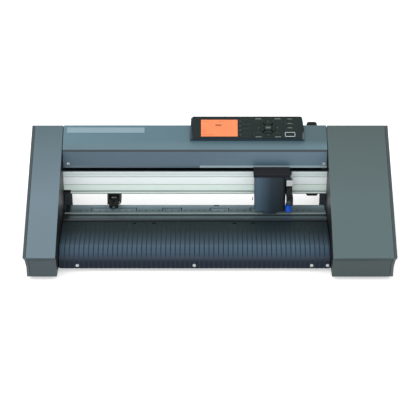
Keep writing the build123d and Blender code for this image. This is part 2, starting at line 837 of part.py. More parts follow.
def push_roller(x, side):
    with BuildPart() as carrier:
        half = carrier_width / 2
        head_top = rail_bottom - slide_gap
        block(x - half, x + half, rail_front + 2, 49, head_top - 4, head_top)
        for x0 in (x - half, x + half - cheek):
            cheek_shape = [(20, 62), (rail_front + 2, head_top), (49, head_top), (49, 58), (26, 56)]
            prism(x0, x0 + cheek, cheek_shape)
        # T-shaped key that hangs in the rail's lower slot
        neck = hang_slot_width / 2 - hang_lip - slide_gap
        mid = hang_slot_y + hang_slot_width / 2
        lip_top = rail_bottom + 2.5 + slide_gap
        block(x - half, x + half, mid - neck, mid + neck, head_top, lip_top + 2)
        wing = hang_slot_width / 2 - slide_gap
        block(x - half, x + half, mid - wing, mid + wing, lip_top, lip_top + 2)
        rod_x(x - half, x + half, pivot_y, roller_z, pivot_radius)
    save(carrier, f"push_roller_carrier_{side}")

    with BuildPart() as arm:
        tail = 50.5
        half = carrier_width / 2 - cheek - 0.5
        shape = [
            (12, roller_z - 1.5),
            (20, roller_z + arm_half),
            (tail, roller_z + arm_half),
            (tail, roller_z - arm_half),
            (20, roller_z - arm_half),
        ]
        prism(x - half, x + half, shape)
        block(x - 2, x + 2, grit_y - 2, 14, roller_z - 3, roller_z + 4)
        rod_x(x - half, x + half, grit_y, roller_z, roller_radius + 0.6, mode=Mode.SUBTRACT)
        rod_x(x - 2, x + 2, grit_y, roller_z, 3.6)
        block(x - 2, x + 2, grit_y, 22, roller_z - 1.5, roller_z + 3)
        x0, x1 = x - half - 1, x + half + 1
        rod_x(x0, x1, pivot_y, roller_z, pivot_radius + pin_gap, mode=Mode.SUBTRACT)
        rod_x(x0, x1, grit_y, roller_z, pin_radius + pin_gap, mode=Mode.SUBTRACT)
    save(arm, f"push_roller_arm_{side}")

    with BuildPart() as wheel:
        rod_x(x - 12, x + 12, grit_y, roller_z, pin_radius)
        for x0 in (x - wheel_offset, x + wheel_offset):
            rod_x(x0 - wheel_width / 2, x0 + wheel_width / 2, grit_y, roller_z, roller_radius)
    save(wheel, f"push_roller_wheel_{side}")


push_roller(roller_left_x, "left")
push_roller(roller_right_x, "right")

# ---- media set lever with its cam shaft --------------------------------------
with BuildPart() as media_lever:
    rod_x(inner_left, inner_right, cam_y, cam_z, shaft_radius)
    lever_left = lever_x - lever_thickness / 2
    lever_right = lever_x + lever_thickness / 2
    rod_x(lever_left, lever_right, cam_y, cam_z, lever_hub_radius)
    # bent bar that passes behind the rail and up through the rear cover
    route = [
        (cam_y, cam_z - 3),
        (rail_rear + 20, cam_z + 2),
        (rail_rear + 24, cam_z + 14),
        (knob_y + 3, knob_z),
        (knob_y - 3, knob_z),
        (rail_rear + 17, cam_z + 16),
        (cam_y, cam_z + 5),
    ]
    prism(lever_left, lever_right, route)
    rod_x(lever_x - knob_half, lever_x + knob_half, knob_y, knob_z, knob_radius)
    round_edges = media_lever.edges().filter_by(GeomType.CIRCLE)
    knob_edges = round_edges.filter_by(lambda e: abs(e.radius - knob_radius) < 1e-6)
    knob_ends = knob_edges.sort_by(Axis.X)
    fillet([knob_ends[0], knob_ends[-1]], knob_round)
save(media_lever, "media_lever")

# ---- control panel -----------------------------------------------------------
face_left = panel_left + 5
face_right = panel_right - 5
lcd_x = panel_left + 55
lcd_width = 69
lcd_height = 37.3
lcd_v = 22.9
body_top = panel_thickness - face_thickness
panel_mid = (panel_left + panel_right) / 2
panel_wide = panel_right - panel_left
face_point = 3
point_v = panel_length * 0.66


def face_outline():
    # face plate with a pointed left end and its mirror on the right
    return [
        (face_left, 0.5),
        (face_left - face_point, point_v),
        (face_left + 0.5, panel_length - 0.5),
        (face_right - 0.5, panel_length - 0.5),
        (face_right + face_point, point_v),
        (face_right, 0.5),
    ]


with BuildPart() as panel_housing:
    with BuildSketch(slope_plane(0, 0, 0)):
        with BuildLine():
            Polyline(
                (panel_left, 0),
                (panel_left + 1.5, panel_length),
                (panel_right - 2.9, panel_length),
                (panel_right, 0),
                close=True,
            )
        make_face()
    extrude(amount=body_top)
    # facets that fall away from the face plate's pointed ends
    body_face = slope_plane(0, 0, body_top)
    for end, sign in ((face_left, 1), (face_right, -1)):
        low = (end, 0.5)
        point = (end - face_point * sign, point_v)
        high = (end + 0.5 * sign, panel_length)
        for a, b, drop in ((low, point, 5), (point, high, 8)):
            p = body_face.from_local_coords(Vector(*a, 0))
            q = body_face.from_local_coords(Vector(*b, 0))
            middle = ((a[0] + b[0]) / 2 - 6 * sign, (a[1] + b[1]) / 2)
            r = body_face.from_local_coords(Vector(*middle, -drop))
            normal = (q - p).cross(r - p).normalized()
            if normal.dot(body_face.z_dir) < 0:
                normal = normal * -1
            split(bisect_by=Plane(p, z_dir=normal), keep=Keep.BOTTOM)
    # pocket for the display and the keypad board, open towards the face
    with BuildSketch(slope_plane(panel_mid, panel_length / 2, shell)):
        Rectangle(panel_wide - 22, panel_length - 5)
    extrude(amount=panel_thickness, mode=Mode.SUBTRACT)
save(panel_housing, "panel_housing")


# keys: name, centre X from the bay's right side, centre up the slope, width, height
soft_x = bay_right - 154.5
side_x = bay_right - 70.7
ring_x = bay_right - 111.7
ring_v = 23.3
key_width = 15
key_height = 5.6
corner_dx = 18.2
corner_dv = 14.4
ring_outer = (14.6, 12.8)
ring_inner = (8.7, 7.3)
enter_size = (7.9, 6.5)
key_gap = 0.35
key_hole = (key_width + 2 * key_gap, key_height + 2 * key_gap)

plain_keys = {}
for i in range(4):
    plain_keys[f"soft_key_{i + 1}"] = (soft_x, 38 - 10 * i)
    plain_keys[f"side_key_{i + 1}"] = (side_x, 38 - 9.8 * i)
corner_names = ("top_left_key", "top_right_key", "low_left_key", "low_right_key")
for i, corner_name in enumerate(corner_names):
    dx = corner_dx if i % 2 else -corner_dx
    dv = -corner_dv if i > 1 else corner_dv
    plain_keys[corner_name] = (ring_x + dx, ring_v + dv)
arrow_keys = {"right_key": 0, "up_key": 90, "left_key": 180, "down_key": 270}


def arrow_sector(angle, grow):
    # quarter of the oval ring, with slanted ends
    reach = 40
    Ellipse(ring_outer[0] + grow, ring_outer[1] + grow)
    Ellipse(ring_inner[0] - grow, ring_inner[1] - grow, mode=Mode.SUBTRACT)
    spread = radians(45)
    back = (1.3 - grow) * sqrt(2)
    with BuildLine(mode=Mode.PRIVATE) as wedge:
        tip = (back * cos(radians(angle)), back * sin(radians(angle)))
        low_side = radians(angle) - spread
        high_side = radians(angle) + spread
        lower = (tip[0] + reach * cos(low_side), tip[1] + reach * sin(low_side))
        upper = (tip[0] + reach * cos(high_side), tip[1] + reach * sin(high_side))
        Polyline(tip, lower, upper, close=True)
    add(make_face(wedge.edges(), mode=Mode.PRIVATE), mode=Mode.INTERSECT)


with BuildPart() as panel_face:
    with BuildSketch(slope_plane(0, 0, body_top)):
        with BuildLine():
            Polyline(*face_outline(), close=True)
        make_face()
        with Locations((lcd_x, lcd_v)):
            Rectangle(lcd_width, lcd_height, mode=Mode.SUBTRACT)
        for x, v in plain_keys.values():
            with Locations((x, v)):
                RectangleRounded(*key_hole, 1.2, mode=Mode.SUBTRACT)
        with Locations((ring_x, ring_v)):
            Ellipse(ring_outer[0] + key_gap, ring_outer[1] + key_gap, mode=Mode.SUBTRACT)
    extrude(amount=face_thickness)
save(panel_face, "panel_face")

screen_gap = 0.3
with BuildPart() as lcd_module:
    with BuildSketch(slope_plane(lcd_x, lcd_v, shell)):
        Rectangle(lcd_width + 5, lcd_height + 3)
    extrude(amount=body_top - shell)
    with BuildSketch(slope_plane(lcd_x, lcd_v, body_top)):
        Rectangle(lcd_width - screen_gap, lcd_height - screen_gap)
    extrude(amount=face_thickness - 0.3)
save(lcd_module, "lcd_module")

board_top = body_top - 3.4
key_bottom = board_top + key_travel + 0.4
key_top = panel_thickness + key_proud
with BuildPart() as circuit_boards:
    with BuildSketch(slope_plane((soft_x + side_x) / 2, panel_length / 2, shell)):
        Rectangle(side_x - soft_x + key_width + 2, panel_length - 7)
    extrude(amount=board_top - shell)
    board_x = bay_mid - 40
    board_y = (tray_front + beam_front) / 2 + 2
    board_depth = beam_front - tray_front - 20
    with Locations((board_x, board_y, foot_height + sheet + 6)):
        Box(150, board_depth, 1.6)
    with Locations((board_x, board_y, foot_height + sheet + 2.6)):
        with GridLocations(138, board_depth - 12, 2, 2):
            Cylinder(3, 5.2)
    with Locations((board_x - 20, board_y + 5, foot_height + sheet + 8)):
        Box(28, 28, 3)
    with Locations((board_x + 35, board_y - 8, foot_height + sheet + 10)):
        Box(20, 34, 8)
save(circuit_boards, "circuit_boards")

for label, (x, v) in plain_keys.items():
    with BuildPart() as key:
        with BuildSketch(slope_plane(x, v, key_bottom)):
            RectangleRounded(key_width, key_height, 1)
        extrude(amount=key_top - key_bottom)
        fillet(key.edges().filter_by(GeomType.LINE).sort_by(Axis.Z)[-2:], 0.5)
    save(key, label)

for label, angle in arrow_keys.items():
    with BuildPart() as key:
        with BuildSketch(slope_plane(ring_x, ring_v, key_bottom)):
            arrow_sector(angle, 0)
        extrude(amount=key_top - key_bottom)
    save(key, label)

with BuildPart() as enter_key:
    with BuildSketch(slope_plane(ring_x, ring_v, key_bottom)):
        Ellipse(*enter_size)
    extrude(amount=key_top - key_bottom + 0.3)
save(enter_key, "enter_key")

# ---- rear connectors, switch, power supply -----------------------------------
with BuildPart() as rear_connectors:
    fit = 0.3
    deep = 22
    y1 = rear_y - 0.5
    block(
        inlet_x - inlet_width / 2 + fit, inlet_x + inlet_width / 2 - fit, y1 - deep, y1,
        inlet_z - inlet_height / 2 + fit, inlet_z + inlet_height / 2 - fit,
    )
    block(inlet_x - 11, inlet_x + 11, y1 - 16, y1 + 1, inlet_z - 6.5, inlet_z + 6.5, mode=Mode.SUBTRACT)
    for dx, dz in ((-6, -1.5), (0, 2), (6, -1.5)):
        x, z = inlet_x + dx, inlet_z + dz
        block(x - 1, x + 1, y1 - 17, y1 - 3, z - 1.6, z + 1.6)
    block(
        port_x - port_width / 2 + fit, port_x + port_width / 2 - fit, y1 - deep, y1,
        inlet_z - port_height / 2 + fit, inlet_z + port_height / 2 - fit,
    )
    block(port_x - 6, port_x + 6, y1 - 12, y1 + 1, inlet_z - 5, inlet_z + 5, mode=Mode.SUBTRACT)
    block(port_x - 2.6, port_x + 2.6, y1 - 13, y1 - 2, inlet_z - 2, inlet_z + 2)
    # frame around the rocker switch
    block(
        switch_x - switch_width / 2 + fit, switch_x + switch_width / 2 - fit, y1 - deep, y1,
        inlet_z - switch_height / 2 + fit, inlet_z + switch_height / 2 - fit,
    )
    block(
        switch_x - switch_width / 2 + 2, switch_x + switch_width / 2 - 2, y1 - 12, y1 + 1,
        inlet_z - switch_height / 2 + 2, inlet_z + switch_height / 2 - 2, mode=Mode.SUBTRACT,
    )
    rocker_y = rear_y - 6
    rod_x(switch_x - switch_width / 2 + 1, switch_x + switch_width / 2 - 1, rocker_y, inlet_z, 1.2)
save(rear_connectors, "rear_connectors")

with BuildPart() as power_switch:
    half = switch_width / 2 - 2.4
    rise = switch_height / 2 - 3.6
    rocker = [
        (rocker_y - 2.6, inlet_z),
        (rocker_y + 0.6, inlet_z - rise),
        (rocker_y + 3, inlet_z - rise),
        (rocker_y + 2.6, inlet_z),
        (rocker_y + 5.6, inlet_z + rise),
        (rocker_y + 1.6, inlet_z + rise),
    ]
    prism(switch_x - half, switch_x + half, rocker)
    rod_x(switch_x - half - 1, switch_x + half + 1, rocker_y, inlet_z, 1.2 + pin_gap, mode=Mode.SUBTRACT)
save(power_switch, "power_switch")

with BuildPart() as power_supply:
    supply_rear = rear_y - 29
    block(bay_right + 28, right_x - 26, supply_rear - 90, supply_rear, foot_height + sheet, 60)
    vents = [(bay_right + 36 + 8 * i, supply_rear - dy) for i in range(6) for dy in (20, 44, 68)]
    for x, y in vents:
        block(x - 1.5, x + 1.5, y - 8, y + 8, 56, 61, mode=Mode.SUBTRACT)
save(power_supply, "power_supply")


# ---- screws ------------------------------------------------------------------
def screw(x, y, z):
    # pan head with a cross recess and a short shank, pointing to the rear
    rod_y(x, y - 1.8, y, z, screw_radius)
    rod_y(x, y, y + 5, z, screw_radius / 2)
    block(x - 1.9, x + 1.9, y - 2, y - 1, z - 0.4, z + 0.4, mode=Mode.SUBTRACT)
    block(x - 0.4, x + 0.4, y - 2, y - 1, z - 1.9, z + 1.9, mode=Mode.SUBTRACT)


with BuildPart() as screws:
    for x, z in screw_spots:
        screw(x, lower_face_y, z)
    for x in apron_screws:
        screw(x, apron_front - apron_skin, apron_screw_z)
save(screws, "screws")
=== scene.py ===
from math import atan2, cos, pi, radians, sin, tan

import bpy
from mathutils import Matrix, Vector


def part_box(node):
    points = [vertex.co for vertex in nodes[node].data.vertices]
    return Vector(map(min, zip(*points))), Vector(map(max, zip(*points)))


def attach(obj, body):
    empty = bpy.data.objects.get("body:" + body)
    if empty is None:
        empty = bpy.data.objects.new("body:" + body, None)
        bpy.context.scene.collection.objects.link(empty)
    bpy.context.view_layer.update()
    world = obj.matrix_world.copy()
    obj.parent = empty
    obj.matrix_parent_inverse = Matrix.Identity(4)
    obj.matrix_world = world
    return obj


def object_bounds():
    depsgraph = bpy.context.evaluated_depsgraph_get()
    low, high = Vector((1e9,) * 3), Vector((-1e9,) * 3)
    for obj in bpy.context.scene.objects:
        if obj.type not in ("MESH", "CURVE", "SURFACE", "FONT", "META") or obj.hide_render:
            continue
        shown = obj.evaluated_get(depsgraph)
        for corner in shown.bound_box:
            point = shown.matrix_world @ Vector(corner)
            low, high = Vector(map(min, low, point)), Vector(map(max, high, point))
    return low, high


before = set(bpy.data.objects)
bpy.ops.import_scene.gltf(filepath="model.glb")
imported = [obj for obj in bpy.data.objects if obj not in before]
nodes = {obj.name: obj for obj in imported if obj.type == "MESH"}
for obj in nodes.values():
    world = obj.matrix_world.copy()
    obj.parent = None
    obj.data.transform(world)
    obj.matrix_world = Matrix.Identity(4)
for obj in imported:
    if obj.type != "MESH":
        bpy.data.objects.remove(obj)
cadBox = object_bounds()
print("frame loaded:", len(nodes), "nodes")

# the long front slope that the top cover, the side covers and the control panel share
slopeLine = {"noseHeight": 0.054, "crestDepth": 0.070, "panelDepth": 0.0406}
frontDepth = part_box("right_cover")[0].y
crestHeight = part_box("right_cover")[1].z
rise = atan2(crestHeight - slopeLine["noseHeight"], slopeLine["crestDepth"] - frontDepth)
slopeStart = Vector((0, slopeLine["panelDepth"], 0))
slopeStart.z = slopeLine["noseHeight"] + (slopeStart.y - frontDepth) * tan(rise)
upSlope = Vector((0, cos(rise), sin(rise)))
offSlope = Vector((0, -sin(rise), cos(rise)))
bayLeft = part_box("left_cover")[1].x
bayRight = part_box("right_cover")[0].x
bayMiddle = (bayLeft + bayRight) / 2


def onSlope(x, along, above):  # a place on the slope, from the control panel's lower edge
    return Vector((x, 0, 0)) + slopeStart + upSlope * along + offSlope * above


def slopeReading(point):  # how far up the slope and off it a point lies
    apart = Vector(point) - slopeStart
    return apart.dot(upSlope), apart.dot(offSlope)


# finishes

def linear(colour):  # 0-255 screen colour to a linear colour
    levels = []
    for level in colour:
        level = level / 255
        levels.append(level / 12.92 if level <= 0.04045 else ((level + 0.055) / 1.055) ** 2.4)
    return (*levels, 1)


def addNode(tree, kind, **values):
    node = tree.nodes.new(kind)
    for name, value in values.items():
        setattr(node, name, value)
    return node


def fade(tree, source, zero, one):  # 0 at one value, 1 at the other, clamped outside them
    edge = addNode(tree, "ShaderNodeMapRange")
    edge.inputs["From Min"].default_value = zero
    edge.inputs["From Max"].default_value = one
    tree.links.new(source, edge.inputs["Value"])
    return edge.outputs["Result"]


def multiply(tree, first, second):
    if first is None:
        return second
    product = addNode(tree, "ShaderNodeMath", operation="MULTIPLY")
    tree.links.new(first, product.inputs[0])
    tree.links.new(second, product.inputs[1])
    return product.outputs["Value"]


def blendColour(tree, under, over, mask, mode="MIX"):
    mix = addNode(tree, "ShaderNodeMix", data_type="RGBA", blend_type=mode)
    tree.links.new(under, mix.inputs["A"])
    if isinstance(over, tuple):
        mix.inputs["B"].default_value = over
    else:
        tree.links.new(over, mix.inputs["B"])
    if mask is None:
        mix.inputs["Factor"].default_value = 1
    else:
        tree.links.new(mask, mix.inputs["Factor"])
    return mix.outputs["Result"]


def bandMask(tree, axes, band):
    # 1 inside the band's limits along each axis, fading out over its soft edge
    mask = None
    for axis in "XYZ":
        soft = band.get("soft" + axis, band.get("soft", 0.0002))
        low, high = band.get(axis, (None, None))
        if low is not None:
            mask = multiply(tree, mask, fade(tree, axes.outputs[axis], low - soft, low))
        if high is not None:
            mask = multiply(tree, mask, fade(tree, axes.outputs[axis], high + soft, high))
    return mask


def makeFinish(name, look):
    # one Principled shader on Object coordinates: base colour with a painted light-and-shade ramp, bands,
    # stripes, mottle, grain
    material = bpy.data.materials.new(name)
    material.use_nodes = True
    tree = material.node_tree
    shader = tree.nodes["Principled BSDF"]
    shader.inputs["Metallic"].default_value = look.get("metal", 0)
    shader.inputs["Coat Weight"].default_value = look.get("coat", 0)
    shader.inputs["Coat Roughness"].default_value = look.get("coatRough", 0.15)
    shader.inputs["IOR"].default_value = look.get("ior", 1.5)
    shader.inputs["Specular IOR Level"].default_value = look.get("specular", 0.5)
    place = addNode(tree, "ShaderNodeTexCoord")
    axes = addNode(tree, "ShaderNodeSeparateXYZ")
    tree.links.new(place.outputs["Object"], axes.inputs["Vector"])
    stretch = addNode(tree, "ShaderNodeMapping")
    stretch.inputs["Scale"].default_value = look.get("stretch", (1, 1, 1))
    tree.links.new(place.outputs["Object"], stretch.inputs["Vector"])

    cloud = addNode(tree, "ShaderNodeTexNoise")
    cloud.inputs["Scale"].default_value = look.get("mottleScale", 9)
    cloud.inputs["Detail"].default_value = 4
    tree.links.new(stretch.outputs["Vector"], cloud.inputs["Vector"])

    base = addNode(tree, "ShaderNodeValToRGB")
    paintedLightRamp = look.get("paintedLightRamp")
    if paintedLightRamp:  # painted light and shade: colour runs along a slanted axis of the piece
        lean = addNode(tree, "ShaderNodeVectorMath", operation="DOT_PRODUCT")
        lean.inputs[1].default_value = look["along"]
        tree.links.new(place.outputs["Object"], lean.inputs[0])
        start, end = paintedLightRamp[0][0], paintedLightRamp[-1][0]
        tree.links.new(fade(tree, lean.outputs["Value"], start, end), base.inputs["Fac"])
        ramp = base.color_ramp.elements
        for spot, colour in paintedLightRamp[1:-1]:
            ramp.new((spot - start) / (end - start)).color = linear(colour)
        ramp[0].color = linear(paintedLightRamp[0][1])
        ramp[-1].color = linear(paintedLightRamp[-1][1])
    else:
        tree.links.new(cloud.outputs["Fac"], base.inputs["Fac"])
        warm = look.get("warm", 0.02)
        plain = linear(look["colour"])
        for stop, shift in zip(base.color_ramp.elements, (1 - warm, 1 + warm)):
            stop.color = (plain[0] * shift, plain[1], plain[2] / shift, 1)
    colour = base.outputs["Color"]

    for band in look.get("bands", ()):
        colour = blendColour(tree, colour, linear(band["colour"]), bandMask(tree, axes, band))
    for stripe in look.get("stripes", ()):  # narrow lines that repeat along an axis
        fold = addNode(tree, "ShaderNodeMath", operation="PINGPONG")
        shift = addNode(tree, "ShaderNodeMath", operation="SUBTRACT")
        shift.inputs[1].default_value = stripe["start"]
        fold.inputs[1].default_value = stripe["pitch"] / 2
        tree.links.new(axes.outputs[stripe["axis"]], shift.inputs[0])
        tree.links.new(shift.outputs["Value"], fold.inputs[0])
        half = stripe["width"] / 2
        line = fade(tree, fold.outputs["Value"], half * 1.5, half * 0.6)
        keep = bandMask(tree, axes, stripe)
        line = multiply(tree, keep, line) if keep is not None else line
        colour = blendColour(tree, colour, linear(stripe["colour"]), line)
    for side in look.get("paintedLightByFacing", ()):  # painted light and shade on faces that look one way, such as a wall in the bay painted dark for its shade
        turn = addNode(tree, "ShaderNodeSeparateXYZ")
        tree.links.new(place.outputs["Normal"], turn.inputs["Vector"])
        mask = fade(tree, turn.outputs[side["axis"]], side["from"], side["to"])
        limits = bandMask(tree, axes, side)
        mask = multiply(tree, limits, mask) if limits is not None else mask
        colour = blendColour(tree, colour, linear(side["colour"]), mask, side.get("mode", "MIX"))

    tint = addNode(tree, "ShaderNodeValToRGB")
    amount = look.get("mottle", 0.05)
    low, high = 1 - 2 * amount, 1
    tint.color_ramp.elements[0].color = (low, low, low, 1)
    tint.color_ramp.elements[1].color = (high, high, high, 1)
    tint.color_ramp.elements[0].position = 0.3
    tint.color_ramp.elements[1].position = 0.7
    tree.links.new(cloud.outputs["Fac"], tint.inputs["Fac"])
    colour = blendColour(tree, colour, tint.outputs["Color"], None, "MULTIPLY")
    tree.links.new(colour, shader.inputs["Base Color"])

    wear = addNode(tree, "ShaderNodeMapRange")
    rough = look.get("rough", 0.5)
    spread = look.get("roughSpread", 0.05)
    wear.inputs["To Min"].default_value = max(0.02, rough - spread)
    wear.inputs["To Max"].default_value = min(1, rough + spread)
    tree.links.new(cloud.outputs["Fac"], wear.inputs["Value"])
    tree.links.new(wear.outputs["Result"], shader.inputs["Roughness"])

    if look.get("grain"):
        grain = addNode(tree, "ShaderNodeTexNoise")
        grain.inputs["Scale"].default_value = look.get("grainScale", 1400)
        grain.inputs["Detail"].default_value = 2
        tree.links.new(stretch.outputs["Vector"], grain.inputs["Vector"])
        relief = addNode(tree, "ShaderNodeBump")
        relief.inputs["Strength"].default_value = look["grain"]
        relief.inputs["Distance"].default_value = 0.0002
        tree.links.new(grain.outputs["Fac"], relief.inputs["Height"])
        tree.links.new(relief.outputs["Normal"], shader.inputs["Normal"])
    if look.get("glow"):
        shader.inputs["Emission Strength"].default_value = look["glow"]
        tree.links.new(colour, shader.inputs["Emission Color"])
    return material


railLow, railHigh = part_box("y_rail")
carriageLow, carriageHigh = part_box("carriage_cover")
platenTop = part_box("platen")[1].z
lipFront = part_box("top_cover")[0].y
inGroove = (railLow.y + 0.0004, railLow.y + 0.006)  # depth of the rail's front grooves
keyNames = [name for name in nodes if name.endswith("_key") or "_key_" in name]

